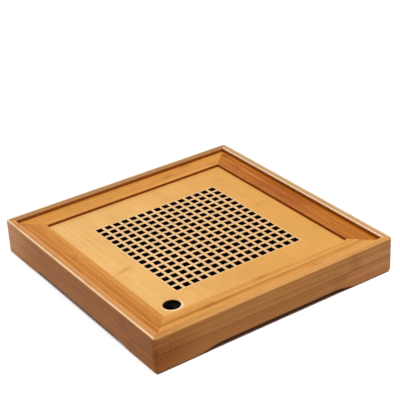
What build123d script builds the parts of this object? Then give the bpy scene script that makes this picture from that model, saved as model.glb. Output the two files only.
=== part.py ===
from build123d import *
import math
import os

os.makedirs("parts", exist_ok=True)

# Square bamboo tea tray: a mitred box with a lift-out grated lid over a lift-out water basin.
# +Z is up, the origin is the centre of the footprint on the table, and the front is the -Y side.
# All sizes are in millimetres.

# Box
tray_side = 280.0
tray_height = 38.0
wall_thickness = 7.8
corner_round = 4.0
rim_outer_round = 1.2
rim_inner_round = 1.0
base_round = 3.4

# Cut-out between the feet, in the bottom edge of every wall
foot_length = 48.0
cutout_run = 20.0
cutout_height = 4.0
cutout_blend = 60.0

# Bottom board, held in a groove round the walls
board_thickness = 3.0
board_lift = 8.0
board_tongue = 3.5
board_play = 0.3
groove_play = 0.2

# Ledge strips that carry the lid
strip_thickness = 8.0
strip_ease = 0.8

# Lid frame
rim_above_lid = 3.7
lid_gap = 0.5
rail_width = 23.1
rail_thickness = 12.0
rail_round = 0.9
lid_corner_round = 1.2

# Grate panel, held in a groove round the rails
panel_step = 3.4
panel_thickness = 5.0
panel_tongue = 5.0
panel_play = 0.4
hole_size = 6.3
hole_pitch = 10.06
hole_count = 15
finger_hole_diameter = 17.0
finger_hole_inset = 17.7
finger_hole_round = 1.1
pattern_shift_x = 1.0
pattern_shift_y = -2.1

# Splines hidden in the mitres
spline_cover = 1.5
wall_spline_thickness = 2.0
wall_spline_stop = 6.0
rail_spline_thickness = 3.0
rail_spline_width = 10.0

# Water basin
basin_gap = 0.8
basin_headroom = 0.7
basin_wall = 1.6
basin_flange = 4.0
basin_lip = 3.5
basin_corner_round = 20.0
basin_flare = 2.0
basin_floor_round = 2.5
basin_base_chamfer = 2.0

# Cuts run past the material by this much
overrun = 1.0

# Places that follow from the sizes above
half_side = tray_side / 2
inner_half = half_side - wall_thickness
lid_top = tray_height - rim_above_lid
lid_bottom = lid_top - rail_thickness
lid_half = inner_half - lid_gap
lid_inner_half = lid_half - rail_width
panel_top = lid_top - panel_step
panel_bottom = panel_top - panel_thickness
panel_groove_half = lid_inner_half + panel_tongue
board_top = board_lift + board_thickness
strip_half = inner_half - strip_thickness

side_names = ("front", "right", "back", "left")
corner_names = ("front_right", "back_right", "back_left", "front_left")
quarter_turn = 90
mitre_turn = quarter_turn / 2


def finish_piece(piece, name):
    """Name the piece and write it to its own file."""
    piece.label = name
    export_step(piece, f"parts/{name}.step")


def is_outer(edge):
    """True for an edge that lies on the outside of the box."""
    centre = edge.center()
    return max(abs(centre.X), abs(centre.Y)) > half_side - corner_round


def finish_sides(ring, name):
    """Cut a square ring at its four mitres and finish each side."""
    for side in range(len(side_names)):
        with BuildPart() as ring_side:
            add(ring)
            with BuildSketch(Plane.XY.rotated((0, 0, side * quarter_turn))):
                Polygon((0, 0), (half_side, -half_side), (-half_side, -half_side), align=None)
            extrude(amount=tray_height, mode=Mode.INTERSECT)
        finish_piece(ring_side.part, f"{name}_{side_names[side]}")


# Mitre splines, one flat feather across each corner joint.
# Both kinds are centred on the mitre and turned to lie square across it.
wall_spline_centre = math.sqrt(2) * (inner_half + wall_thickness / 2)
wall_spline_width = math.sqrt(2) * (wall_thickness - 2 * spline_cover) - wall_spline_thickness
wall_spline_bottom = board_top + groove_play + spline_cover
wall_spline_height = tray_height - wall_spline_stop - wall_spline_bottom
rail_spline_inner = math.sqrt(2) * (panel_groove_half + spline_cover)
rail_spline_outer = math.sqrt(2) * (lid_half - spline_cover) - rail_spline_width / 2
rail_spline_length = rail_spline_outer - rail_spline_inner
rail_spline_centre = (rail_spline_inner + rail_spline_outer) / 2
rail_spline_bottom = (lid_top + lid_bottom - rail_spline_thickness) / 2

wall_splines = []
rail_splines = []
for corner in range(len(corner_names)):
    turn = corner * quarter_turn - mitre_turn

    with BuildPart() as wall_spline:
        with BuildSketch(Plane.XY.offset(wall_spline_bottom).rotated((0, 0, turn))):
            with Locations((wall_spline_centre, 0)):
                Rectangle(wall_spline_thickness, wall_spline_width)
        extrude(amount=wall_spline_height)
    wall_splines.append(wall_spline.part)
    finish_piece(wall_spline.part, f"wall_spline_{corner_names[corner]}")

    with BuildPart() as rail_spline:
        with BuildSketch(Plane.XY.offset(rail_spline_bottom).rotated((0, 0, turn))):
            with Locations((rail_spline_centre, 0)):
                Rectangle(rail_spline_length, rail_spline_width)
        extrude(amount=rail_spline_thickness)
    rail_splines.append(rail_spline.part)
    finish_piece(rail_spline.part, f"rail_spline_{corner_names[corner]}")


# Walls. The four boards are shaped as one mitred ring, as they are sanded after gluing.
# The cut-out follows one smooth line: foot, blend, slope, blend, flat top, and back again.
cutout_foot = half_side - foot_length
cutout_flat = cutout_foot - cutout_run
cutout_lead = foot_length / 2

with BuildPart() as wall_ring:
    with BuildSketch():
        RectangleRounded(tray_side, tray_side, corner_round)
        Rectangle(2 * inner_half, 2 * inner_half, mode=Mode.SUBTRACT)
    extrude(amount=tray_height)

    for cut_plane in (Plane.XZ, Plane.YZ):
        with BuildSketch(cut_plane):
            with BuildLine():
                arch = FilletPolyline(
                    (-cutout_foot - cutout_lead, 0),
                    (-cutout_foot, 0),
                    (-cutout_flat, cutout_height),
                    (cutout_flat, cutout_height),
                    (cutout_foot, 0),
                    (cutout_foot + cutout_lead, 0),
                    radius=cutout_blend,
                )
                Polyline(
                    arch @ 1,
                    (cutout_foot + cutout_lead, -overrun),
                    (-cutout_foot - cutout_lead, -overrun),
                    arch @ 0,
                )
            make_face()
        extrude(amount=tray_side, both=True, mode=Mode.SUBTRACT)

    low_edges = wall_ring.edges().filter_by_position(Axis.Z, 0, cutout_height)
    fillet(low_edges.filter_by(is_outer).filter_by(Axis.Z, reverse=True), base_round)
    rim_edges = wall_ring.faces().sort_by(Axis.Z)[-1].edges()
    fillet(rim_edges.filter_by(is_outer), rim_outer_round)
    rim_edges = wall_ring.faces().sort_by(Axis.Z)[-1].edges()
    fillet(rim_edges.filter_by(is_outer, reverse=True), rim_inner_round)

    with BuildSketch(Plane.XY.offset(board_lift)):
        Rectangle(2 * (inner_half + board_tongue), 2 * (inner_half + board_tongue))
    extrude(amount=board_thickness + groove_play, mode=Mode.SUBTRACT)
    for spline in wall_splines:
        add(spline, mode=Mode.SUBTRACT)

finish_sides(wall_ring.part, "side_board")


# Bottom board
board_side = 2 * (inner_half + board_tongue - board_play)

with BuildPart() as bottom_board:
    with BuildSketch(Plane.XY.offset(board_lift)):
        Rectangle(board_side, board_side)
    extrude(amount=board_thickness)
finish_piece(bottom_board.part, "bottom_board")


# Ledge strips, mitred inside the walls, with the edge towards the basin eased
with BuildPart() as strip_ring:
    with BuildSketch(Plane.XY.offset(board_top)):
        Rectangle(2 * inner_half, 2 * inner_half)
        Rectangle(2 * strip_half, 2 * strip_half, mode=Mode.SUBTRACT)
    extrude(amount=lid_bottom - board_top)
    fillet(strip_ring.faces().sort_by(Axis.Z)[-1].inner_wires().edges(), strip_ease)
finish_sides(strip_ring.part, "ledge_strip")


# Lid rails, shaped as one mitred ring with a groove for the panel
with BuildPart() as rail_ring:
    with BuildSketch(Plane.XY.offset(lid_bottom)):
        RectangleRounded(2 * lid_half, 2 * lid_half, lid_corner_round)
        Rectangle(2 * lid_inner_half, 2 * lid_inner_half, mode=Mode.SUBTRACT)
    extrude(amount=rail_thickness)
    fillet(rail_ring.faces().sort_by(Axis.Z)[-1].edges(), rail_round)

    with BuildSketch(Plane.XY.offset(panel_bottom)):
        Rectangle(2 * panel_groove_half, 2 * panel_groove_half)
    extrude(amount=panel_thickness, mode=Mode.SUBTRACT)
    for spline in rail_splines:
        add(spline, mode=Mode.SUBTRACT)

finish_sides(rail_ring.part, "lid_rail")


# Grate panel: a thin board with a square field of drain holes and a finger hole in one corner.
# The holes are cut as one pattern, which sits a little to the right and front of the panel's centre.
panel_side = 2 * (panel_groove_half - panel_play)
finger_hole_place = -(lid_inner_half - finger_hole_inset)

with BuildPart() as grate_panel:
    with BuildSketch(Plane.XY.offset(panel_bottom)):
        Rectangle(panel_side, panel_side)
        with Locations((pattern_shift_x + finger_hole_place, pattern_shift_y + finger_hole_place)):
            Circle(finger_hole_diameter / 2, mode=Mode.SUBTRACT)
    extrude(amount=panel_thickness)
    finger_hole_edges = grate_panel.edges().filter_by(GeomType.CIRCLE).sort_by(Axis.Z)
    fillet(finger_hole_edges[-1], finger_hole_round)
    chamfer(finger_hole_edges[0], finger_hole_round)

    with BuildSketch(Plane.XY.offset(panel_bottom)):
        with Locations((pattern_shift_x, pattern_shift_y)):
            with GridLocations(hole_pitch, hole_pitch, hole_count, hole_count):
                Rectangle(hole_size, hole_size)
    extrude(amount=panel_thickness, mode=Mode.SUBTRACT)
finish_piece(grate_panel.part, "grate_panel")


# Water basin: a thin moulded dish with a turned-down rim, standing on the bottom board.
# Its walls flare outwards so that it lifts out of its mould and stacks.
basin_top = lid_bottom - basin_headroom
basin_half = strip_half - basin_gap
basin_mouth_half = basin_half - basin_flange
basin_base_half = basin_mouth_half - basin_flare
basin_mouth_round = basin_corner_round - basin_flange
basin_base_round = basin_mouth_round - basin_flare
basin_floor = board_top + basin_wall

with BuildPart() as water_basin:
    with BuildSketch(Plane.XY.offset(board_top)):
        RectangleRounded(2 * basin_base_half, 2 * basin_base_half, basin_base_round)
    with BuildSketch(Plane.XY.offset(basin_top)):
        RectangleRounded(2 * basin_mouth_half, 2 * basin_mouth_half, basin_mouth_round)
    loft(ruled=True)
    chamfer(water_basin.faces().sort_by(Axis.Z)[0].edges(), basin_base_chamfer)

    with BuildSketch(Plane.XY.offset(basin_top - basin_wall)):
        RectangleRounded(2 * basin_half, 2 * basin_half, basin_corner_round)
    extrude(amount=basin_wall)
    with BuildSketch(Plane.XY.offset(basin_top - basin_lip)):
        RectangleRounded(2 * basin_half, 2 * basin_half, basin_corner_round)
        offset(amount=-basin_wall, mode=Mode.SUBTRACT)
    extrude(amount=basin_lip - basin_wall)

    cavity_low = basin_base_half - basin_wall
    cavity_high = basin_mouth_half - basin_wall
    with BuildSketch(Plane.XY.offset(basin_floor)):
        RectangleRounded(2 * cavity_low, 2 * cavity_low, basin_base_round - basin_wall)
    with BuildSketch(Plane.XY.offset(basin_top)):
        RectangleRounded(2 * cavity_high, 2 * cavity_high, basin_mouth_round - basin_wall)
    loft(ruled=True, mode=Mode.SUBTRACT)

    floor_edges = water_basin.edges().filter_by_position(Axis.Z, basin_floor, basin_floor)
    fillet(floor_edges, basin_floor_round)
finish_piece(water_basin.part, "water_basin")
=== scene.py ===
import math
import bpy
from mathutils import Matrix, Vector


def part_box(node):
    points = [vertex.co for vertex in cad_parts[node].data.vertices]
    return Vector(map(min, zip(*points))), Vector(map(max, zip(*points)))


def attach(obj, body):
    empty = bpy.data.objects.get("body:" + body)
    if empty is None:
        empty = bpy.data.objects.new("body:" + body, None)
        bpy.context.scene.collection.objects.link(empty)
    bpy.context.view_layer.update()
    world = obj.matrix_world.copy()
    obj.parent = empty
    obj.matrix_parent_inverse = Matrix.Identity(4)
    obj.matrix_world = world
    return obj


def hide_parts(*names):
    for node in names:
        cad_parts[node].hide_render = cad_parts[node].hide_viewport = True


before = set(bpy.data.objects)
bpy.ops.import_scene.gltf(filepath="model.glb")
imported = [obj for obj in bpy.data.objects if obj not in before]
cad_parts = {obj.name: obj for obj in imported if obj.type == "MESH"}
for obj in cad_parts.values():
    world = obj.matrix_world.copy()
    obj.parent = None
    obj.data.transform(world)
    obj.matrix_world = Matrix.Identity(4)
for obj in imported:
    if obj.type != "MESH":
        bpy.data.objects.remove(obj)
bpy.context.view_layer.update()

from types import SimpleNamespace

import bpy
import numpy as np
from mathutils import Matrix

# Square bamboo tea tray: a mitred box with a lift-out lid over a lift-out water basin.
# Everything stands in the CAD frame: +Z up, the front towards -Y, the origin under the tray's centre.
mm = 0.001  # the sizes below are typed in millimetres
quarterTurn = math.pi / 2
sideNames = ("front", "right", "back", "left")
cornerNames = ("front_right", "back_right", "back_left", "front_left")


def cornersOf(node):
    # lowest and highest corner of a CAD node, as arrays
    low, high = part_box(node)
    return np.array(low), np.array(high)


wallLow, wallHigh = cornersOf("side_board_right")
railLow, railHigh = cornersOf("lid_rail_right")
stripLow, stripHigh = cornersOf("ledge_strip_right")
boardLow, boardHigh = cornersOf("bottom_board")
panelLow, panelHigh = cornersOf("grate_panel")
basinLow, basinHigh = cornersOf("water_basin")


# Mesh making

meshing = {
    "arcSteps": 6,  # steps in each rounded edge
    "cornerSteps": 6,  # steps in half a corner, from the straight to the mitre
    "straightStep": 2.5 * mm,  # length of a step along a side
    "leastRound": 0.25 * mm,  # what sanding leaves on a sharp corner
    "sharpAngle": math.radians(50),  # a steeper fold between faces is shaded as an edge
    "weldStep": 0.0001 * mm,  # points that agree to this are one point
}


def unit(rows):
    # every row divided by its length
    return rows / np.linalg.norm(rows, axis=-1, keepdims=True)


def roundedOutline(corners, closed=True):
    # Each corner (first, second, radius) becomes an arc. With unit directions a and b to the
    # neighbours, which meet at the angle 2h, the arc's centre lies r / sin h along a + b, and its
    # radius swings evenly from the touching point on a to the one on b.
    spots = np.array([corner[:2] for corner in corners], float)
    radius = np.array([corner[2] for corner in corners], float)[:, None]
    before = unit(np.roll(spots, 1, 0) - spots)
    after = unit(np.roll(spots, -1, 0) - spots)
    cosine = (before * after).sum(1, keepdims=True)
    sineHalf = np.sqrt((1 - cosine) / 2)
    cosineHalf = np.sqrt((1 + cosine) / 2)
    centre = spots + unit(before + after) * radius / sineHalf
    start = spots + before * radius * cosineHalf / sineHalf - centre
    end = spots + after * radius * cosineHalf / sineHalf - centre
    swing = (math.pi - np.arccos(cosine))[:, None]
    share = np.linspace(0, 1, meshing["arcSteps"] + 1)[None, :, None]
    arcs = start[:, None] * np.sin((1 - share) * swing) + end[:, None] * np.sin(share * swing)
    arcs = centre[:, None] + arcs / np.sin(swing)
    if closed:
        return arcs.reshape(-1, 2)
    return np.concatenate([spots[:1], arcs[1:-1].reshape(-1, 2), spots[-1:]])


def gridFaces(columns, rows, closedColumns=False, closedRows=False):
    # four-sided faces between neighbouring points of a grid that is stored column by column
    column = np.arange(columns if closedColumns else columns - 1)[:, None]
    row = np.arange(rows if closedRows else rows - 1)[None, :]
    nextColumn = (column + 1) % columns
    nextRow = (row + 1) % rows
    corners = [
        column * rows + row,
        nextColumn * rows + row,
        nextColumn * rows + nextRow,
        column * rows + nextRow,
    ]
    return np.stack(corners, -1).reshape(-1, 4)


def weld(points, faces):
    # points that fall on the same place become one, and the faces follow
    place = np.round(points / meshing["weldStep"]).astype(np.int64)
    _, kept, now = np.unique(place, axis=0, return_index=True, return_inverse=True)
    now = now.reshape(-1)
    return points[kept], [now[block] for block in faces], kept


def addPiece(name, points, faces, body, node, finish, values=None):
    # a finished piece: its mesh, its shading, its finish, and what it stands for
    mesh = bpy.data.meshes.new(name)
    mesh.from_pydata(points.tolist(), [], [face for block in faces for face in block.tolist()])
    for key, rows in (values or {}).items():
        mesh.attributes.new(key, "FLOAT", "POINT").data.foreach_set("value", rows.astype(np.float32))
    mesh.shade_smooth()
    mesh.set_sharp_from_angle(angle=meshing["sharpAngle"])
    mesh.materials.append(finish)
    piece = bpy.data.objects.new(name, mesh)
    bpy.context.scene.collection.objects.link(piece)
    even = piece.modifiers.new("even_faces", "WEIGHTED_NORMAL")
    even.keep_sharp = True
    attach(piece, body)
    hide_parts(node)


def turned(points, turn):
    # points turned about the upright axis: x' = x cos - y sin, y' = x sin + y cos
    cosine, sine = math.cos(turn), math.sin(turn)
    return points @ np.array([[cosine, sine, 0], [-sine, cosine, 0], [0, 0, 1]])


def mitredSide(side, half, cornerRound, outline, lift=None):
    # One side of a square frame, from mitre to mitre. An outline point at the inset u follows the
    # square of half size half - u, whose corner radius is cornerRound - u, or the least one: straight
    # first, then an eighth of a turn at each end.
    inset, height = outline[:, 0], outline[:, 1]
    radius = np.maximum(cornerRound - inset, meshing["leastRound"])
    edge = half - inset
    swing = np.linspace(0, quarterTurn / 2, meshing["cornerSteps"] + 1)[:, None]
    endAlong = edge - radius + radius * np.sin(swing)
    endOut = edge - radius + radius * np.cos(swing)
    straight = (edge - radius).min() - meshing["straightStep"]
    steps = 2 * round(straight / meshing["straightStep"]) + 1
    middleAlong = np.repeat(np.linspace(-straight, straight, steps)[:, None], len(outline), 1)
    middleOut = np.repeat(edge[None, :], steps, 0)
    along = np.concatenate([-endAlong[::-1], middleAlong, endAlong])
    out = np.concatenate([endOut[::-1], middleOut, endOut])
    up = np.repeat(height[None, :], len(along), 0)
    if lift:
        up = up + lift(along, up)
    points = np.stack([along, -out, up], -1).reshape(-1, 3)
    ring = np.arange(len(outline))
    lastRing = len(points) - 1 - ring
    faces = [gridFaces(len(along), len(outline), closedRows=True), ring[None], lastRing[None]]
    return turned(points, side * quarterTurn), faces


# Shader making

def colour(red, green, blue):
    # a screen colour, 0 to 255, as the linear colour that sockets hold
    share = np.array([red, green, blue]) / 255
    linear = np.where(share <= 0.04045, share / 12.92, ((share + 0.055) / 1.055) ** 2.4)
    return (*linear.tolist(), 1.0)


class Flow:
    # a number that varies over a surface: each sum on it adds one Math node

    def __init__(self, finish, socket):
        self.finish = finish
        self.socket = socket

    def math(self, operation, *others):
        inputs = dict(enumerate((self, *others)))
        return self.finish.node("ShaderNodeMath", {"operation": operation}, inputs)

    def __add__(self, other):
        return self.math("ADD", other)

    def __mul__(self, other):
        return self.math("MULTIPLY", other)

    def __sub__(self, other):
        return self.math("SUBTRACT", other)

    def __rsub__(self, other):
        return self.finish.node("ShaderNodeMath", {"operation": "SUBTRACT"}, {0: other, 1: self})

    def __truediv__(self, other):
        return self.math("DIVIDE", other)

    __radd__ = __add__
    __rmul__ = __mul__

    def size(self):
        return self.math("ABSOLUTE")

    def floor(self):
        return self.math("FLOOR")

    def fraction(self):
        return self.math("FRACT")

    def most(self, other):
        return self.math("MAXIMUM", other)

    def least(self, other):
        return self.math("MINIMUM", other)

    def centred(self):
        # a share of 0 to 1 as -0.5 to 0.5
        return self - 0.5

    def rise(self, low, high):
        # 0 below low, 1 above high, and smooth between
        settings = {"interpolation_type": "SMOOTHSTEP"}
        inputs = {"Value": self, "From Min": low, "From Max": high}
        return self.finish.node("ShaderNodeMapRange", settings, inputs)

    def fall(self, low, high):
        # 1 below low, 0 above high
        return 1 - self.rise(low, high)

    def output(self, name):
        return Flow(self.finish, self.socket.node.outputs[name])


class Finish:
    # one material, or the world, built from nodes

    def __init__(self, owner):
        self.owner = owner
        owner.use_nodes = True
        self.tree = owner.node_tree
        self.tree.nodes.clear()

    def node(self, kind, settings=None, inputs=None, output=0):
        # a node of that kind: its settings first, then the values or links of its sockets
        made = self.tree.nodes.new(kind)
        for key, setting in (settings or {}).items():
            setattr(made, key, setting)
        for key, given in (inputs or {}).items():
            if isinstance(given, Flow):
                self.tree.links.new(given.socket, made.inputs[key])
            else:
                made.inputs[key].default_value = given
        return Flow(self, made.outputs[output]) if len(made.outputs) else made

    def place(self, turn=0.0, shift=(0, 0, 0)):
        # the object's own coordinates in millimetres, turned about the upright axis and shifted
        spot = self.node("ShaderNodeTexCoord", output="Object")
        inputs = {"Vector": spot, "Location": shift, "Rotation": (0, 0, turn), "Scale": (1 / mm,) * 3}
        return self.node("ShaderNodeMapping", {}, inputs)

    def split(self, vector):
        # its three parts; the first is the node's first output
        parts = self.node("ShaderNodeSeparateXYZ", {}, {0: vector})
        return parts, parts.output("Y"), parts.output("Z")

    def join(self, first, second, third):
        return self.node("ShaderNodeCombineXYZ", {}, {0: first, 1: second, 2: third})

    def stretch(self, vector, factors):
        return self.node("ShaderNodeVectorMath", {"operation": "MULTIPLY"}, {0: vector, 1: factors})

    def scale(self, vector, factor):
        return self.node("ShaderNodeVectorMath", {"operation": "SCALE"}, {0: vector, "Scale": factor})

    def noise(self, vector, scale, detail=2.0, roughness=0.5):
        inputs = {"Vector": vector, "Scale": scale, "Detail": detail, "Roughness": roughness}
        return self.node("ShaderNodeTexNoise", {}, inputs)

    def blob(self, spot, reachOut, spin=0.0):
        # 1 at a spot of the object, in millimetres, and 0 from its reach on
        inputs = {"Vector": self.node("ShaderNodeTexCoord", output="Object"), "Rotation": (0, 0, spin)}
        inputs["Location"] = [number * mm for number in spot]
        inputs["Scale"] = [number * mm for number in reachOut]
        away = self.node("ShaderNodeMapping", {"vector_type": "TEXTURE"}, inputs)
        length = self.node("ShaderNodeVectorMath", {"operation": "LENGTH"}, {0: away}, "Value")
        return length.fall(0.0, 1.0)

    def attribute(self, name):
        # a number that the mesh holds at each of its points
        return self.node("ShaderNodeAttribute", {"attribute_name": name}, output="Fac")

    def mixColour(self, share, first, second):
        # of a Mix node's many sockets, 0 is the share, and 6, 7 and output 2 are the colours
        return self.node("ShaderNodeMix", {"data_type": "RGBA"}, {0: share, 6: first, 7: second}, 2)

    def bump(self, height, strength, distance):
        inputs = {"Height": height, "Strength": strength, "Distance": distance}
        return self.node("ShaderNodeBump", {}, inputs)

    def surface(self, inputs):
        shader = self.node("ShaderNodeBsdfPrincipled", {}, inputs)
        self.node("ShaderNodeOutputMaterial", {}, {"Surface": shader})
        return self.owner


print("helpers ready")


# Bamboo

# Lengths are in millimetres here and in the looks. A reach says where something begins and ends,
# and a noise is its scale and detail, and its roughness if that isn't the usual one.
bamboo = {
    "wobbleStretch": (0.05, 0.35, 0.35),  # long waves, which carry fibres, nodes and bands along
    "wobbleNoise": (1.0, 1.0),
    "eddyNoise": (0.13, 1.5),  # tighter ones, which show only in a swirl
    "wander": 1.6,  # how far fibres stray sideways, and how much further in a swirl
    "swirl": 4.0,
    "eddy": 12.0,
    "wanderUp": 0.5,  # the share of this by which they stray up as well
    "stripShift": 60.0,  # how far apart two strips can take their fibres from one noise
    "nodeGap": 265.0,  # from one growth node to the next
    "nodeWobble": 5.0,
    "nodeLine": (0.35, 1.3),  # reach of the dark line at a node
    "nodeGlow": (1.5, 13.0),  # and of the swirl round it
    "fibreStretch": (0.015, 1.0, 1.0),  # makes fibres longer along than across
    "fibreNoise": (2.3, 2.0, 0.6),
    "fibreReach": (0.3, 0.75),  # how much of the noise shows dark
    "streakReach": (0.36, 0.68),
    "fleckStretch": (0.11, 1.0, 1.0),
    "fleckNoise": (2.6, 1.0),
    "fleckReach": (0.58, 0.72),
    "cloudNoise": (0.018, 1.0),
    "cloudiness": 0.16,
    "mottleNoise": (0.09, 2.0),
    "bandWobble": 3.0,
    "mitre": (0.05, 0.3),  # reach of the glue line in the mitres
    "innerEdge": (0.2, 0.9),  # and of the painted shade on a side's inner face
    "wearAndGlintFrom": (0.2, 0.9),  # how far in from the top's outer edge the painted highlight, with some pale wear, starts
    "wearAndGlintTo": (2.0, 3.1),  # and where that ends
    "wearAndGlintInside": (1.1, 2.2),  # where it ends at the top's inner edge
    "flushNoise": (0.45, 2.0),
    "flushReach": (0.42, 0.62),
    "flushLeast": 0.35,  # the share of a flush that is even, and not in streaks
    "flushTint": (0.85, 0.65, 0.75),
    "paintedHoleShade": colour(13, 6, 3),  # painted shade inside the holes, whose depth is dark
    "paintedHoleShadeRough": 0.25,  # and how much rougher it is there
    "fibreRough": 0.14,
    "fibreRelief": 0.6,  # height of fibres, then depth of the rest, as shares of the bump's height
    "fleckRelief": 0.25,
    "seamRelief": 0.8,
    "nodeRelief": 2.0,
    "bumpHeight": 0.05 * mm,
    "bumpStrength": 0.22,
    "gloss": 0.06,
    "coat": 0.1,
    "coatRoughness": 0.22,
}


def tinted(shade, tint):
    # a tint on a linear colour, such as a board's tone, which is painted shade on the back wall and partly
    # on the right rail
    return (*(np.array(shade[:3]) * tint).clip(0, 1).tolist(), 1.0)


def glueLine(distance, step, width):
    # 1 at every whole step of a distance, and 0 beyond the width
    share = (distance / step).fraction()
    return (share.least(1 - share) * step).fall(*width)


def boardPattern(finish, look, turn):
    # What varies over a board of laminated bamboo with its grain along the turned X axis: strips of
    # their own tone and warmth, glue lines, growth nodes with a swirl, long fibres and short flecks.
    place = finish.place(turn, look["shift"])
    along, across, height = finish.split(place)
    wide, tall = look["strip"]
    cell = {"Vector": finish.join((across / wide).floor(), (height / tall).floor(), look["seed"])}
    chance = finish.node("ShaderNodeTexWhiteNoise", {"noise_dimensions": "3D"}, cell, "Color")
    tone, phase, warmth = finish.split(chance)
    seam = glueLine(across, wide, look["seamWidth"]).most(glueLine(height, tall, look["layerWidth"]))
    wobble = finish.noise(finish.stretch(place, bamboo["wobbleStretch"]), *bamboo["wobbleNoise"]).centred()
    eddy = finish.noise(place, *bamboo["eddyNoise"]).centred()

    nodePlace = (along / bamboo["nodeGap"] + phase).fraction().centred()
    nodeDistance = (nodePlace * bamboo["nodeGap"] + wobble * bamboo["nodeWobble"]).size()
    swirl = nodeDistance.fall(*bamboo["nodeGlow"]) * look["glow"]
    darker = swirl
    for spot, reachOut, spin, swirlShare, darkShare in look["marks"]:
        mark = finish.blob(spot, reachOut, spin)
        swirl = swirl.most(mark * swirlShare)
        darker = darker + mark * darkShare

    drift = wobble * (bamboo["wander"] + swirl * bamboo["swirl"]) + eddy * swirl * bamboo["eddy"]
    raised = height + drift * bamboo["wanderUp"] + tone * bamboo["stripShift"]
    fibrePlace = finish.join(along, across + drift, raised)
    longPlace = finish.stretch(fibrePlace, bamboo["fibreStretch"])
    shortPlace = finish.stretch(fibrePlace, bamboo["fleckStretch"])
    x, y, z = finish.split(finish.place())
    return SimpleNamespace(
        x=x, y=y, z=z, out=x.size().most(y.size()),
        tone=tone, warmth=warmth, seam=seam, wobble=wobble, darker=darker, fibrePlace=fibrePlace,
        nodeLine=nodeDistance.fall(*bamboo["nodeLine"]) * look["node"],
        streak=finish.noise(longPlace, look["streakScale"]),
        fibre=finish.noise(longPlace, *bamboo["fibreNoise"]),
        fleck=finish.noise(shortPlace, *bamboo["fleckNoise"]).rise(*bamboo["fleckReach"]),
        cloud=finish.noise(place, *bamboo["cloudNoise"]).centred(),
        mottle=finish.noise(place, *bamboo["mottleNoise"]).centred(),
    )


def frameMarks(finish, look, board, base, square):
    # What a side of a square frame shows besides its grain: painted shade on its inner face,
    # painted sheen on its top, painted highlights with some pale wear on its edges, reddish flushes
    # in streaks, and patches of painted shade and sheen.
    outer, inner, top = square
    topFace = (top - board.z).fall(*look["topEdge"])
    # painted shade on the inner face below the top, where little light reaches
    innerFace = (board.out - inner).fall(*bamboo["innerEdge"]) * (1 - topFace)
    base = finish.mixColour(innerFace * look["innerShade"], base, look["innerShadeColour"])
    # painted light and sheen: the top lighter and paler than the faces below
    base = finish.mixColour(topFace, base, finish.stretch(base, look["topSheenTint"]))
    everywhere, outerShare, innerShare = look["wearAndGlint"]
    inset = outer - board.out
    outerLine = inset.rise(*bamboo["wearAndGlintFrom"]) * inset.fall(*bamboo["wearAndGlintTo"]) * outerShare
    innerLine = (board.out - inner).fall(*bamboo["wearAndGlintInside"]) * innerShare
    uneven = 1.0 + board.wobble + board.mottle
    # painted highlight along the top's rounded edges, where glints fall, with some pale wear
    wearAndGlint = topFace * (everywhere + outerLine.most(innerLine) * uneven)
    base = finish.mixColour(wearAndGlint, base, look["wearAndGlintColour"])
    least = bamboo["flushLeast"]
    for spot, reachOut, strength in look["flush"]:
        streaks = finish.noise(board.fibrePlace, *bamboo["flushNoise"]).rise(*bamboo["flushReach"])
        patch = finish.blob(spot, reachOut) * (least + streaks * (1 - least))
        base = finish.mixColour(patch * strength, base, tinted(look["red"], bamboo["flushTint"]))
    # painted shade at the front's near bottom corner, painted sheen towards the far ends of the front and
    # left walls
    for spot, reachOut, tint in look["shadeAndSheenPatches"]:
        shadeAndSheenPatches = finish.blob(spot, reachOut) * (1 - topFace)
        base = finish.mixColour(shadeAndSheenPatches, base, finish.stretch(base, tint))
    return base


def holeMarks(finish, look, board, base, holeShade):
    # paler wood in the field of drain holes, a painted highlight on the finger hole's edge, then painted
    # shade in the holes
    middleX, middleY = look["sieve"]
    fromMiddle = (board.x - middleX).size().most((board.y - middleY).size())
    sieve = fromMiddle.fall(*look["sieveReach"]) * look["sieveShare"]
    # painted highlight on the finger hole's edge, and paler wood in the field of drain holes
    base = finish.mixColour(finish.attribute("glint").most(sieve), base, look["wearAndGlintColour"])
    return finish.mixColour(holeShade, base, bamboo["paintedHoleShade"])


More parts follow.
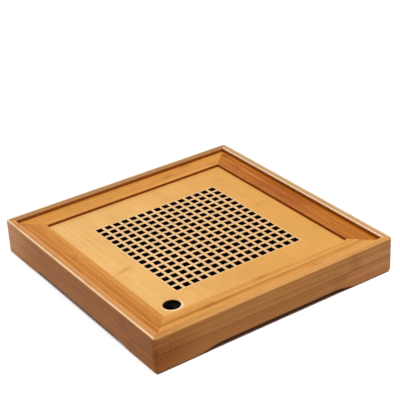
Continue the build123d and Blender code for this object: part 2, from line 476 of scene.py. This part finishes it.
def bambooFinish(name, look, turn, square=None):
    # The finish of one board. For a side of a square frame, `square` holds the frame's outer and
    # inner half size and its top.
    finish = Finish(bpy.data.materials.new(name))
    board = boardPattern(finish, look, turn)
    dark = board.streak.rise(*bamboo["streakReach"]) * look["streak"]
    dark = dark + board.fibre.rise(*bamboo["fibreReach"]) * look["fibre"] + board.darker
    for middle, width, strength in look["bands"]:
        inset = square[0] - board.out + board.wobble * bamboo["bandWobble"]
        dark = dark + (inset - middle).size().fall(0.0, width) * strength
    light = tinted(look["light"], look["tint"])
    if look["pale"]:
        towardsPale = board.y * look["paleLean"] - board.x + board.cloud * look["paleCloud"]
        light = finish.mixColour(towardsPale.rise(*look["paleReach"]), light, look["pale"])
    base = finish.mixColour(dark, light, tinted(look["dark"], look["tint"]))
    base = finish.mixColour(board.warmth * look["warmth"], base, tinted(look["red"], look["tint"]))
    shade = 1.0 + board.tone.centred() * look["spread"] + board.cloud * bamboo["cloudiness"]
    shade = shade + board.mottle * look["mottle"] - board.fleck * look["fleck"]
    shade = shade - board.seam * look["seam"] - board.nodeLine
    if square:
        diagonal = (board.x.size() - board.y.size()).size() / math.sqrt(2)
        shade = shade - diagonal.fall(*bamboo["mitre"]) * look["joint"]
    base = finish.scale(base, shade)
    if square:
        base = frameMarks(finish, look, board, base, square)

    rough = look["rough"] + board.fibre.centred() * bamboo["fibreRough"]
    coat = bamboo["coat"]
    if look["paintedHoleShade"]:
        # painted shade inside the holes, where the coat is left off
        holeShade = finish.attribute("holeShade")
        base = holeMarks(finish, look, board, base, holeShade)
        rough = rough + holeShade * bamboo["paintedHoleShadeRough"]
        coat = (1 - holeShade) * coat
    relief = board.fibre * bamboo["fibreRelief"] - board.fleck * bamboo["fleckRelief"]
    relief = relief - board.seam * bamboo["seamRelief"] - board.nodeLine * bamboo["nodeRelief"]
    return finish.surface({
        "Base Color": base,
        "Roughness": rough,
        "Specular IOR Level": bamboo["gloss"],
        "Coat Weight": coat,
        "Coat Roughness": bamboo["coatRoughness"],
        "Normal": finish.bump(relief, bamboo["bumpStrength"], bamboo["bumpHeight"]),
    })


plainLook = {
    "shift": (0, 0, 0),  # moves the pattern along, across and up
    "tint": (1, 1, 1),
    "mottle": 0.06,
    "streakScale": 0.42,
    "seamWidth": (0.05, 0.35),  # reach of the glue lines between strips, and between layers
    "layerWidth": (0.05, 0.35),
    "joint": 0.3,
    "innerShade": 0.0,
    "wearAndGlint": (0, 0, 0),  # how strongly a frame's top gets a painted highlight with some pale wear: everywhere, and at its outer and inner edge
    "wearAndGlintColour": colour(250, 214, 170),
    "topEdge": (0.5, 1.2),  # how far down the top reaches, which takes the painted sheen, highlights and wear
    "topSheenTint": (1, 1, 1),
    "marks": (),  # each a spot, its reach and turn, and the swirl and the dark that it adds
    "bands": (),  # each its inset, its width and the dark that it adds
    "flush": (),  # each a spot, its reach and its strength
    "shadeAndSheenPatches": (),  # patches of painted shade and sheen: each a spot, its reach and its tint
    "pale": None,
    "paintedHoleShade": False,
}
wallLook = {
    **plainLook, "strip": (3.9, 19.4), "seed": 11.0, "innerShade": 0.6, "innerShadeColour": colour(155, 72, 6),
    "light": colour(226, 160, 86), "dark": colour(170, 98, 36), "red": colour(190, 106, 48),
    "streak": 0.5, "streakScale": 0.3, "fibre": 0.25, "glow": 0.2, "spread": 0.08, "warmth": 0.25,
    "fleck": 0.12, "seam": 0.2, "layerWidth": (0.3, 1.5), "node": 0.05, "rough": 0.4, "joint": 0.1,
}
wallBoards = {
    "front": {
        "shift": (31, 0, 0.2), "tint": (1.16, 1.12, 1.2), "topSheenTint": (1.06, 1.05, 0.95),
        "wearAndGlint": (0.16, 0.0, 0.1), "wearAndGlintColour": colour(250, 206, 124), "streak": 0.4, "seam": 0.3,
        "flush": (((-138, -138, 22), (62, 62, 30), 0.8),),
        "shadeAndSheenPatches": (((-140, -140, 5), (80, 60, 45), (0.8, 0.7, 0.55)),
                  ((145, -138, 12), (120, 60, 60), (1.16, 1.26, 1.65))),
    },
    "right": {
        "shift": (118, 5, 0.2), "tint": (0.87, 0.92, 0.97), "topSheenTint": (0.96, 1.05, 1.12),
        "wearAndGlint": (0.2, 0.3, 0.95), "wearAndGlintColour": colour(250, 214, 176), "innerShadeColour": colour(168, 84, 6),
    },
    # its darker tint is painted shade: the back's top and inner face get less light
    "back": {
        "shift": (204, 11, 0.2), "tint": (0.8, 0.82, 0.84), "topSheenTint": (1.0, 1.06, 1.08),
        "wearAndGlint": (0.04, 0.55, 0.1),
    },
    "left": {
        "shift": (77, 17, 0.2), "tint": (1.13, 0.91, 0.61), "topSheenTint": (0.97, 1.12, 1.22),
        "wearAndGlint": (0.11, 0.85, 0.15), "streak": 0.3, "mottle": 0.14, "seam": 0.08,
        "flush": (((-138, -138, 18), (50, 50, 26), 0.5),),
        "shadeAndSheenPatches": (((-140, 145, 24), (60, 85, 60), (1.55, 2.05, 3.2)),
                  ((-140, 148, 30), (60, 62, 60), (1.1, 1.17, 2.1))),
    },
}
railLook = {
    **plainLook, "strip": (7.7, 30.0), "seed": 21.0, "innerShade": 0.85, "innerShadeColour": colour(124, 50, 0),
    "light": colour(232, 166, 82), "dark": colour(176, 102, 34), "red": colour(190, 100, 34),
    "streak": 0.45, "fibre": 0.35, "glow": 0.25, "spread": 0.1, "warmth": 0.25,
    "fleck": 0.2, "seam": 0.1, "node": 0.1, "rough": 0.4, "wearAndGlint": (0.0, 0.0, 0.05),
}
railBoards = {
    "front": {
        "shift": (40, 0, 0), "tint": (1.02, 1.07, 1.08), "streak": 0.35, "fibre": 0.25,
        "bands": ((11.0, 4.0, 0.4), (6.0, 3.5, -0.25)),
    },
    # its darker, redder tint is partly its own tone and partly painted shade from the right wall
    "right": {
        "shift": (10, 0, 0), "tint": (0.83, 0.63, 0.22), "innerShadeColour": colour(136, 52, 0),
        "streak": 0.7, "fibre": 0.45, "mottle": 0.16,
        "marks": (((120, 35, 34), (9, 26, 9), 0.1, 0.7, 0.2), ((118, -45, 34), (7, 18, 9), 0.0, 0.6, 0.1),
                  ((120, 0, 34), (20, 55, 9), 0.0, 0.35, 0.45)),
    },
    "back": {
        # its darker painted shade on the inner face starts higher up, for a wider shaded step
        "shift": (150, 0, 0), "tint": (1.1, 1.13, 1.02), "innerShadeColour": colour(122, 48, 0), "topEdge": (0.1, 0.6),
    },
    "left": {
        "shift": (95, 0, 0), "tint": (1.0, 0.95, 0.8), "streak": 0.35, "fibre": 0.5, "fleck": 0.26,
        "bands": ((4.5, 3.0, 0.3), (9.5, 3.5, 0.3)),
        "marks": (((-117, 35, 34), (9, 16, 9), 0.0, 1.6, -0.2),),
    },
}
panelLook = {
    **plainLook, "shift": (38, 4, 0), "strip": (19.0, 30.0), "seed": 3.0,
    "light": colour(231, 169, 86), "dark": colour(211, 146, 63), "red": colour(222, 149, 66),
    "pale": colour(247, 199, 126), "paleReach": (-110.0, 170.0), "paleLean": 0.3, "paleCloud": 120.0,
    "paintedHoleShade": True, "wearAndGlintColour": colour(255, 228, 190), "sieveReach": (74.0, 77.0), "sieveShare": 0.32,
    "streak": 0.18, "fibre": 0.17, "glow": 0.0, "spread": 0.03, "warmth": 0.15, "mottle": 0.12,
    "fleck": 0.04, "seam": 0.0, "node": 0.0, "rough": 0.42,
    "marks": (((-91, -14, 31), (17, 5, 9), 0.25, 0.4, 0.5), ((91, 10, 31), (17, 5, 9), 0.2, 0.3, 0.35)),
}
innerLook = {
    **plainLook, "strip": (8.0, 12.0), "seed": 31.0,
    "light": colour(214, 166, 108), "dark": colour(184, 130, 76), "red": colour(196, 134, 80),
    "streak": 0.5, "fibre": 0.4, "glow": 0.3, "spread": 0.14, "warmth": 0.2,
    "fleck": 0.2, "seam": 0.2, "node": 0.25, "rough": 0.6,
}
splineLook = {**innerLook, "seed": 41.0}
boardLook = {**innerLook, "shift": (20, 0, 0), "strip": (24.0, 30.0), "seed": 5.0, "spread": 0.18}


# Walls

walls = {
    "cornerRound": 4.0 * mm,
    "rimOuterRound": 1.2 * mm,
    "rimInnerRound": 1.0 * mm,
    "baseRound": 3.4 * mm,
    "ease": 0.3 * mm,  # sanding on the edges that the CAD leaves sharp
    "grooveEase": 0.15 * mm,
    "groovePlay": 0.2 * mm,  # room above the bottom board in its groove
    "boardPlay": 0.3 * mm,  # and beyond its edge
    "footLength": 48 * mm,
    "cutoutRun": 20 * mm,  # from the foot to the cut-out's flat top
    "cutoutHeight": 4 * mm,
    "cutoutBlend": 60 * mm,  # radius between the flats and the slope
}
wallHalf = wallHigh[0]
wallThickness = wallHigh[0] - wallLow[0]
grooveLow = boardLow[2]
grooveHigh = boardHigh[2] + walls["groovePlay"]
grooveEnd = wallHalf - boardHigh[0] - walls["boardPlay"]


def cutoutLift(along, up):
    # Flat foot, blend, slope, blend and flat top, by the distance from the middle of the side. Each
    # blend is a circle that touches its two neighbours: at the run d from its flat one, it has moved
    # by R - sqrt(R^2 - d^2). The lift is whole up to the base's round edge, and fades to nothing at
    # the groove.
    slope = math.atan2(walls["cutoutHeight"], walls["cutoutRun"])
    radius = walls["cutoutBlend"]
    # from where a flat and the slope would meet, a blend reaches one tangent along the flat, and its
    # level part on the slope's side
    tangent = radius * math.tan(slope / 2)
    levelPart = tangent * math.cos(slope)
    foot = wallHalf - walls["footLength"]
    flat = foot - walls["cutoutRun"]
    distance = np.abs(along)
    ramp = (foot - distance) * math.tan(slope)
    lowRun = np.clip(foot + tangent - distance, 0, radius)
    lowBlend = radius - np.sqrt(radius ** 2 - lowRun ** 2)
    highRun = np.clip(distance - flat + tangent, 0, radius)
    highBlend = walls["cutoutHeight"] - radius + np.sqrt(radius ** 2 - highRun ** 2)
    isLow = distance > foot - levelPart
    isHigh = distance < flat + levelPart
    lift = np.select([isLow, isHigh], [lowBlend, highBlend], ramp)
    fade = np.clip((grooveLow - up) / (grooveLow - walls["baseRound"]), 0, 1)
    return lift * fade


wallOutline = roundedOutline([
    (0, 0, walls["baseRound"]),
    (0, wallHigh[2], walls["rimOuterRound"]),
    (wallThickness, wallHigh[2], walls["rimInnerRound"]),
    (wallThickness, grooveHigh, walls["grooveEase"]),
    (grooveEnd, grooveHigh, walls["grooveEase"]),
    (grooveEnd, grooveLow, walls["grooveEase"]),
    (wallThickness, grooveLow, walls["grooveEase"]),
    (wallThickness, 0, walls["ease"]),
])
for side, sideName in enumerate(sideNames):
    points, faces = mitredSide(side, wallHalf, walls["cornerRound"], wallOutline, cutoutLift)
    look = {**wallLook, **wallBoards[sideName], "seed": wallLook["seed"] + side}
    square = (wallHalf / mm, (wallHalf - wallThickness) / mm, wallHigh[2] / mm)
    finish = bambooFinish(f"bamboo_wall_{sideName}", look, -side * quarterTurn, square)
    addPiece(f"wall_{sideName}", points, faces, "box", f"side_board_{sideName}", finish)
print("walls done")


# Lid rails

rails = {
    "cornerRound": 1.2 * mm,
    "edgeRound": 0.9 * mm,
    "ease": 0.4 * mm,
    "grooveEase": 0.15 * mm,
    "groovePlay": 0.4 * mm,  # room beyond the panel's edge
}
railHalf = railHigh[0]
railWidth = railHigh[0] - railLow[0]
panelGrooveEnd = railHalf - panelHigh[0] - rails["groovePlay"]
railOutline = roundedOutline([
    (0, railLow[2], rails["ease"]),
    (0, railHigh[2], rails["edgeRound"]),
    (railWidth, railHigh[2], rails["edgeRound"]),
    (railWidth, panelHigh[2], rails["grooveEase"]),
    (panelGrooveEnd, panelHigh[2], rails["grooveEase"]),
    (panelGrooveEnd, panelLow[2], rails["grooveEase"]),
    (railWidth, panelLow[2], rails["grooveEase"]),
    (railWidth, railLow[2], rails["ease"]),
])
for side, sideName in enumerate(sideNames):
    points, faces = mitredSide(side, railHalf, rails["cornerRound"], railOutline)
    look = {**railLook, **railBoards[sideName], "seed": railLook["seed"] + side}
    square = (railHalf / mm, (railHalf - railWidth) / mm, railHigh[2] / mm)
    finish = bambooFinish(f"bamboo_rail_{sideName}", look, -side * quarterTurn, square)
    addPiece(f"rail_{sideName}", points, faces, "lid", f"lid_rail_{sideName}", finish)
print("lid rails done")


# Ledge strips

strips = {
    "ease": 0.25 * mm,
    "topEase": 0.8 * mm,
    "grainStep": 60,  # how much further along each side's pattern starts
}
stripHalf = stripHigh[0]
stripThickness = stripHigh[0] - stripLow[0]
stripOutline = roundedOutline([
    (0, stripLow[2], strips["ease"]),
    (0, stripHigh[2], strips["ease"]),
    (stripThickness, stripHigh[2], strips["topEase"]),
    (stripThickness, stripLow[2], strips["ease"]),
])
for side, sideName in enumerate(sideNames):
    points, faces = mitredSide(side, stripHalf, 0, stripOutline)
    look = {**innerLook, "seed": innerLook["seed"] + side, "shift": (strips["grainStep"] * side, 0, 0)}
    finish = bambooFinish(f"bamboo_strip_{sideName}", look, -side * quarterTurn)
    addPiece(f"strip_{sideName}", points, faces, "box", f"ledge_strip_{sideName}", finish)
print("ledge strips done")


# Grate panel

grate = {
    "holeSize": 6.3 * mm,
    "holePitch": 10.06 * mm,
    "holeCount": 15,
    "holeRound": 0.55 * mm,  # what the cutter leaves in a hole's corners
    "holeEase": 0.55 * mm,
    "patternShift": (1.0 * mm, -2.1 * mm),
    "fingerRadius": 8.5 * mm,
    "fingerInset": 17.7 * mm,
    "fingerRound": 1.1 * mm,
    "fingerPatch": 12 * mm,  # half the square of panel round the finger hole
    "fingerSteps": 16,  # steps along one side of that square
    "fingerShade": (0.98, 0.12),  # how much painted shade the finger hole has, and how much less where it faces the light
    "fingerLit": (-0.83, 0.55),  # towards the side that faces the light
    "shadeFade": 3,  # a higher power starts the painted shade further down the finger hole's round edge
    "fingerGlint": (0.4, 0.7),  # how strong the painted highlight on that edge is, and how much more in its brightest direction
    "fingerGlintToward": (0.19, -0.98),  # towards the middle of the painted highlight
    "glintFade": 2,  # a higher power ends the painted highlight further down
    "fingerHalo": 2.6 * mm,  # how far the painted highlight reaches onto the flat
}


def squareRing(size, inner):
    # twelve points round a square of half size `size`, counter-clockwise: each corner and the two
    # points beside it, at `inner` from the middle
    quarter = np.array([(size, inner), (size, size), (inner, size)])
    spins = np.array([[(1, 0), (0, 1)], [(0, 1), (-1, 0)], [(-1, 0), (0, -1)], [(0, -1), (1, 0)]])
    return np.einsum("ki,qij->qkj", quarter, spins).reshape(-1, 2)


def roundedRing(size, inner, radius):
    # the same twelve points, with the corner drawn in to a circle round (inner, inner)
    ring = squareRing(size, inner)
    corner = np.abs(ring).min(1, keepdims=True) > inner
    return np.where(corner, np.sign(ring) * (inner + radius / math.sqrt(2)), ring)


def ringBands(centres, rings, heights):
    # rings of the same length stacked round each centre: every band between two is four-sided faces
    rings = np.stack(rings)
    flat = centres[:, None, None, :] + rings[None]
    up = np.broadcast_to(np.array(heights)[None, :, None, None], (*flat.shape[:3], 1))
    points = np.concatenate([flat, up], -1).reshape(-1, 3)
    levels, count = rings.shape[:2]
    one = gridFaces(levels, count, closedRows=True)[:, [0, 3, 2, 1]]
    faces = one[None] + (np.arange(len(centres)) * levels * count)[:, None, None]
    return points, faces.reshape(-1, 4)


panelTop, panelBottom = panelHigh[2], panelLow[2]
panelHalf = panelHigh[0]
shift = np.array(grate["patternShift"])
holeHalf = grate["holeSize"] / 2
cellHalf = holeHalf + grate["holeEase"]
holeInner = holeHalf - grate["holeRound"]
holeLine = (np.arange(grate["holeCount"]) - (grate["holeCount"] - 1) / 2) * grate["holePitch"]
fingerCentre = shift - (railLow[0] - grate["fingerInset"])  # from the rails' inner edges at the front left
patch = np.linspace(-grate["fingerPatch"], grate["fingerPatch"], grate["fingerSteps"] + 1)


def gridLines(axis):
    # where the mesh is divided along one axis: the panel's ends, each hole's cell, and the patch
    # round the finger hole
    offsets = np.array([-cellHalf, -holeInner, holeInner, cellHalf])
    holes = (holeLine[:, None] + offsets).ravel() + shift[axis]
    return np.sort(np.concatenate([[-panelHalf, panelHalf], holes, patch + fingerCentre[axis]]))


def inside(lines, centres, size):
    # true for each interval between two lines that lies within `size` of a centre
    middles = (lines[:-1] + lines[1:]) / 2
    return np.abs(middles[:, None] - centres).min(1) < size


xLines, yLines = gridLines(0), gridLines(1)
flatX, flatY = np.meshgrid(xLines, yLines, indexing="ij")
sheet = np.stack([flatX.ravel(), flatY.ravel()], -1)
topSheet = np.column_stack([sheet, np.full(len(sheet), panelTop)])
bottomSheet = np.column_stack([sheet, np.full(len(sheet), panelBottom)])
holeCells = np.outer(inside(xLines, holeLine + shift[0], cellHalf),
                     inside(yLines, holeLine + shift[1], cellHalf))
fingerCells = np.outer(inside(xLines, fingerCentre[:1], grate["fingerPatch"]),
                       inside(yLines, fingerCentre[1:], grate["fingerPatch"]))
sheetFaces = gridFaces(len(xLines), len(yLines))[~(holeCells | fingerCells).ravel()]

holeX, holeY = np.meshgrid(holeLine + shift[0], holeLine + shift[1], indexing="ij")
holeCentres = np.stack([holeX.ravel(), holeY.ravel()], -1)
bend = 1 - math.sqrt(0.5)  # an eased edge at half its turn, as a share of its size
halfEase = bend * grate["holeEase"]
cutRing = roundedRing(holeHalf, holeInner, grate["holeRound"])
bentRing = roundedRing(holeHalf + halfEase, holeInner, grate["holeRound"] + halfEase)
cellRing = squareRing(cellHalf, holeInner)
holePoints, holeFaces = ringBands(
    holeCentres,
    [cellRing, bentRing, cutRing, cutRing, cellRing],
    [panelTop, panelTop - halfEase, panelTop - grate["holeEase"], panelBottom, panelBottom],
)
# painted shade on every ring but the two that lie in the panel's faces
holeRingShade = np.tile(np.repeat([0.0, 1.0, 1.0, 1.0, 0.0], len(cellRing)), len(holeCentres))

# The finger hole: its square patch is drawn in to circles, by each edge point's own direction
edgeRun = patch[:-1]
patchSide = np.column_stack([np.full(len(edgeRun), grate["fingerPatch"]), edgeRun])
patchRing = np.concatenate([turned(np.column_stack([patchSide, 0 * edgeRun]), turn * quarterTurn)[:, :2]
                            for turn in range(4)])
direction = unit(patchRing)
bendTurn = np.linspace(0, quarterTurn, meshing["arcSteps"] + 1)
fingerRadii = grate["fingerRadius"] + grate["fingerRound"] * (1 - np.sin(bendTurn))
fingerDrops = panelTop - grate["fingerRound"] * (1 - np.cos(bendTurn))
haloRadius = fingerRadii[0] + grate["fingerHalo"]
radii = np.concatenate([[haloRadius], fingerRadii, [grate["fingerRadius"], fingerRadii[0]]])
drops = np.concatenate([[panelTop], fingerDrops, [panelBottom + grate["fingerRound"], panelBottom]])
fingerPoints, fingerFaces = ringBands(
    fingerCentre[None],
    [patchRing, *(radii[:, None, None] * direction), patchRing],
    [panelTop, *drops, panelBottom],
)
# How much painted shade and painted highlight it has: by ring, from the patch above to the patch below,
# and by direction
down = np.linspace(0, 1, len(fingerRadii))
shadeLevel = np.concatenate([[0.0, 0.0], down ** grate["shadeFade"], [1.0, 1.0, 0.0]])
holeShade, lessHoleShade = grate["fingerShade"]
shadeByDirection = holeShade - lessHoleShade * (direction @ grate["fingerLit"]).clip(0, 1)
fingerShade = np.outer(shadeLevel, shadeByDirection).ravel()
glintLevel = np.concatenate([[0.0, 0.0], 1 - down ** grate["glintFade"], [0.0, 0.0, 0.0]])
glint, moreGlint = grate["fingerGlint"]
glintShare = (direction @ grate["fingerGlintToward"] * moreGlint + glint).clip(0, 1)
fingerGlint = np.outer(glintLevel, glintShare).ravel()

# The panel's four edges, which lie in the rails' grooves
edgeLoop = np.concatenate([
    np.arange(len(xLines)) * len(yLines),
    (len(xLines) - 1) * len(yLines) + np.arange(1, len(yLines)),
    np.arange(len(xLines) - 1)[::-1] * len(yLines) + len(yLines) - 1,
    np.arange(1, len(yLines) - 1)[::-1],
])
nextLoop = np.roll(edgeLoop, -1)
count = len(sheet)
rimFaces = np.column_stack([edgeLoop + count, nextLoop + count, nextLoop, edgeLoop])
panelPoints = np.concatenate([topSheet, bottomSheet, holePoints, fingerPoints])
panelFaces = [sheetFaces, sheetFaces[:, ::-1] + count, rimFaces, holeFaces + 2 * count,
              fingerFaces + 2 * count + len(holePoints)]
panelShade = np.concatenate([np.zeros(2 * count), holeRingShade, fingerShade])
panelGlint = np.concatenate([np.zeros(2 * count + len(holeRingShade)), fingerGlint])
panelPoints, panelFaces, kept = weld(panelPoints, panelFaces)
panelFinish = bambooFinish("bamboo_panel", {**panelLook, "sieve": shift / mm}, -quarterTurn)
addPiece("drain_panel", panelPoints, panelFaces, "lid", "grate_panel", panelFinish,
         {"holeShade": panelShade[kept], "glint": panelGlint[kept]})
print("grate panel done,", len(panelPoints), "points")


# Water basin

basin = {
    "wall": 1.6 * mm,
    "flange": 4.0 * mm,  # how far its edge reaches out, and then turns down
    "lip": 3.5 * mm,
    "cornerRound": 20 * mm,  # of the outermost line; the lines further in have less, down to the next
    "cornerLeast": 8 * mm,
    "flare": 2.0 * mm,  # how much further out its walls are at the mouth than at the base
    "floorRound": 2.5 * mm,
    "baseChamfer": 2.0 * mm,
    "ease": 0.4 * mm,
    "cornerSteps": 10,
    "sideSteps": 24,
    "colour": colour(18, 18, 19),
    "roughness": 0.5,
    "grainNoise": (2.2, 3.0, 0.6),
    "grainRough": 0.2,
    "bumpStrength": 0.2,
    "bumpHeight": 0.04 * mm,
    "scuffStretch": (0.05, 0.3, 0.3),
    "scuffNoise": (1.0, 2.0),
    "scuffReach": (0.5, 0.75),
    "scuffColour": colour(36, 36, 37),
    "scuffShare": 0.35,
    "scuffRough": 0.08,
}


def roundedSquare(edge, radius):
    # Rounded squares of half size `edge`, counter-clockwise, for every outline point at once: a quarter
    # of straight side and quarter circle about (edge - r, edge - r), and the same turned three times.
    swing = np.linspace(0, quarterTurn, basin["cornerSteps"] + 1)[:, None]
    run = np.linspace(-1, 1, basin["sideSteps"] + 1)[1:-1, None]
    straight = np.stack([np.repeat(edge[None], len(run), 0), run * (edge - radius)], -1)
    corner = np.stack([edge - radius + radius * np.cos(swing), edge - radius + radius * np.sin(swing)], -1)
    quarter = np.concatenate([straight, corner])
    return np.concatenate([quarter, quarter[..., ::-1] * (-1, 1), -quarter, quarter[..., ::-1] * (1, -1)])


basinHalf = basinHigh[0]
mouthHalf = basinHalf - basin["flange"]
baseHalf = mouthHalf - basin["flare"]
basinTop, basinBase = basinHigh[2], basinLow[2]
basinFloor = basinBase + basin["wall"]
middleHalf = baseHalf / 2  # the floor is one flat face from here in
ease = basin["ease"]
basinOutline = roundedOutline([
    (middleHalf, basinFloor, ease),
    (baseHalf - basin["wall"], basinFloor, basin["floorRound"]),
    (mouthHalf - basin["wall"], basinTop, ease),
    (basinHalf, basinTop, ease),
    (basinHalf, basinTop - basin["lip"], ease),
    (basinHalf - basin["wall"], basinTop - basin["lip"], ease),
    (basinHalf - basin["wall"], basinTop - basin["wall"], ease),
    (mouthHalf, basinTop - basin["wall"], ease),
    (baseHalf, basinBase + basin["baseChamfer"], ease),
    (baseHalf - basin["baseChamfer"], basinBase, ease),
    (middleHalf, basinBase, ease),
], closed=False)
basinInset = basinHalf - basinOutline[:, 0]
basinCorner = np.maximum(basin["cornerRound"] - basinInset, basin["cornerLeast"])
basinRing = roundedSquare(basinOutline[:, 0], basinCorner)
basinUp = np.repeat(basinOutline[None, :, 1:], len(basinRing), 0)
basinPoints = np.concatenate([basinRing, basinUp], -1).reshape(-1, 3)
around, rows = len(basinRing), len(basinOutline)
floorCap = np.arange(around) * rows
baseCap = floorCap[::-1] + rows - 1
basinFaces = [gridFaces(around, rows, closedColumns=True)[:, ::-1], floorCap[None], baseCap[None]]

finish = Finish(bpy.data.materials.new("black_plastic"))
place = finish.place()
grain = finish.noise(place, *basin["grainNoise"])
scuffPlace = finish.stretch(place, basin["scuffStretch"])
scuff = finish.noise(scuffPlace, *basin["scuffNoise"]).rise(*basin["scuffReach"])
rough = basin["roughness"] + grain.centred() * basin["grainRough"] + scuff * basin["scuffRough"]
basinFinish = finish.surface({
    "Base Color": finish.mixColour(scuff * basin["scuffShare"], basin["colour"], basin["scuffColour"]),
    "Roughness": rough,
    "Normal": finish.bump(grain, basin["bumpStrength"], basin["bumpHeight"]),
})
addPiece("basin", basinPoints, basinFaces, "basin", "water_basin", basinFinish)
print("water basin done")


# Bottom board and splines keep their CAD shape and get their finish here

def refinish(node, finish):
    # a CAD node with this finish in place of its own
    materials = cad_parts[node].data.materials
    materials.clear()
    materials.append(finish)


refinish("bottom_board", bambooFinish("bamboo_board", boardLook, 0))
for corner, cornerName in enumerate(cornerNames):
    look = {**splineLook, "seed": splineLook["seed"] + corner}
    turn = -corner * quarterTurn + quarterTurn / 2
    splineFinish = bambooFinish(f"bamboo_spline_{cornerName}", look, turn)
    refinish(f"wall_spline_{cornerName}", splineFinish)
    refinish(f"rail_spline_{cornerName}", splineFinish)
print("board and splines done")


# Floor, world and lamps

studio = {
    "floorHalf": 6.0,
    "floorBounce": 0.5,  # how pale the floor is to the light that it sends up
    "floorSeen": 2.2,  # and to the camera, so that only real shade shows on it
    "plainReach": (0.45, 1.1),  # metres from the middle, between which the floor turns plain white
    "openReach": (-2.4, -0.6),  # millimetres beyond the tray's outline: the floor comes out of its painted dark
    "shadeReach": (-1.6, 1.2),  # and most of the tray's shade ends
    "sideInset": 1.5,  # at the left and right, both lie this much further in
    "shadeHidden": 0.92,  # the share of the shade that is hidden beyond there
    "underShadeTint": (1.0, 0.8, 0.65, 1.0),  # painted shade under the tray: the floor darker there, with a painted reflection of the tray's brown
    "white": (1.0, 1.0, 1.0, 1.0),
    "ambient": 0.12,  # the world's light on the tray; the camera sees it white
}
floorMesh = bpy.data.meshes.new("floor")
corners = np.array([(-1, -1, 0), (1, -1, 0), (1, 1, 0), (-1, 1, 0)]) * studio["floorHalf"]
floorMesh.from_pydata(corners.tolist(), [], [(0, 1, 2, 3)])
floor = bpy.data.objects.new("floor", floorMesh)
bpy.context.scene.collection.objects.link(floor)


def seenDirectly(finish):
    # 1 for rays from the camera, and 1 for these and those that mirrors and glass pass on
    fromCamera = finish.node("ShaderNodeLightPath", output="Is Camera Ray")
    passedOn = fromCamera.output("Is Glossy Ray").most(fromCamera.output("Is Transmission Ray"))
    return fromCamera, fromCamera.most(passedOn)


# The floor is painted darker and browner under the tray, as painted shade, and is shaded just
# beyond its outline. Most of the shade is hidden there behind plain white, and all of it further off.
finish = Finish(bpy.data.materials.new("studio_floor"))
fromCamera, seen = seenDirectly(finish)
x, y, _ = finish.split(finish.place())
far = ((x * x + y * y).math("SQRT") * mm).rise(*studio["plainReach"])
beyond = (x.size() + studio["sideInset"]).most(y.size()) - wallHalf / mm
plainer = far.most(beyond.rise(*studio["shadeReach"]) * studio["shadeHidden"])
brighter = seen * (1 - studio["floorBounce"]) + fromCamera * (studio["floorSeen"] - 1)
bare = beyond.rise(*studio["openReach"])
pale = studio["floorBounce"] + brighter * bare
# painted shade and a painted reflection of the tray's brown under the tray
tint = finish.mixColour(bare, studio["underShadeTint"], studio["white"])
matt = finish.node("ShaderNodeBsdfDiffuse", {}, {"Color": finish.scale(tint, pale)})
plain = finish.node("ShaderNodeEmission", {}, {"Color": studio["white"]})
mixed = finish.node("ShaderNodeMixShader", {}, {0: plainer * seen, 1: matt, 2: plain})
finish.node("ShaderNodeOutputMaterial", {}, {"Surface": mixed})
floorMesh.materials.append(finish.owner)

bpy.context.scene.world = bpy.data.worlds.new("studio")
finish = Finish(bpy.context.scene.world)
strength = studio["ambient"] + seenDirectly(finish)[1] * (1 - studio["ambient"])
sky = finish.node("ShaderNodeBackground", {}, {"Color": studio["white"], "Strength": strength})
finish.node("ShaderNodeOutputWorld", {}, {"Surface": sky})

lamps = {  # both white, and turned to the tray
    "overhead": {"place": (0.25, -0.3, 1.5), "size": 1.2, "power": 22.5},
    "back_left": {"place": (-0.70, 1.10, 0.73), "size": 0.25, "power": 3.0},
}
for name, lamp in lamps.items():
    light = bpy.data.lights.new(name, "AREA")
    light.size = lamp["size"]
    light.energy = lamp["power"]
    holder = bpy.data.objects.new(name, light)
    holder.location = lamp["place"]
    away = unit(np.array(lamp["place"]))
    holder.rotation_euler = (math.acos(away[2]), 0, math.atan2(away[0], -away[1]))
    bpy.context.scene.collection.objects.link(holder)
print("studio done")


# Camera, as solved from the photograph's outline of the tray

view = {
    "place": (-0.58833, -0.89399, 0.63786),
    "azimuth": math.radians(-33.766),
    "elevation": math.radians(27.954),
    "roll": math.radians(-2.947),
    "lens": 109.78,
    "sensor": 36.0,
}
camera = bpy.data.cameras.new("photo_view")
camera.lens = view["lens"]
camera.sensor_width = view["sensor"]
cameraHolder = bpy.data.objects.new("photo_view", camera)
cameraHolder.matrix_world = (
    Matrix.Translation(view["place"])
    @ Matrix.Rotation(view["azimuth"], 4, "Z")
    @ Matrix.Rotation(quarterTurn - view["elevation"], 4, "X")
    @ Matrix.Rotation(view["roll"], 4, "Z")
)
bpy.context.scene.collection.objects.link(cameraHolder)
bpy.context.scene.camera = cameraHolder
bpy.context.scene.view_settings.view_transform = "Standard"
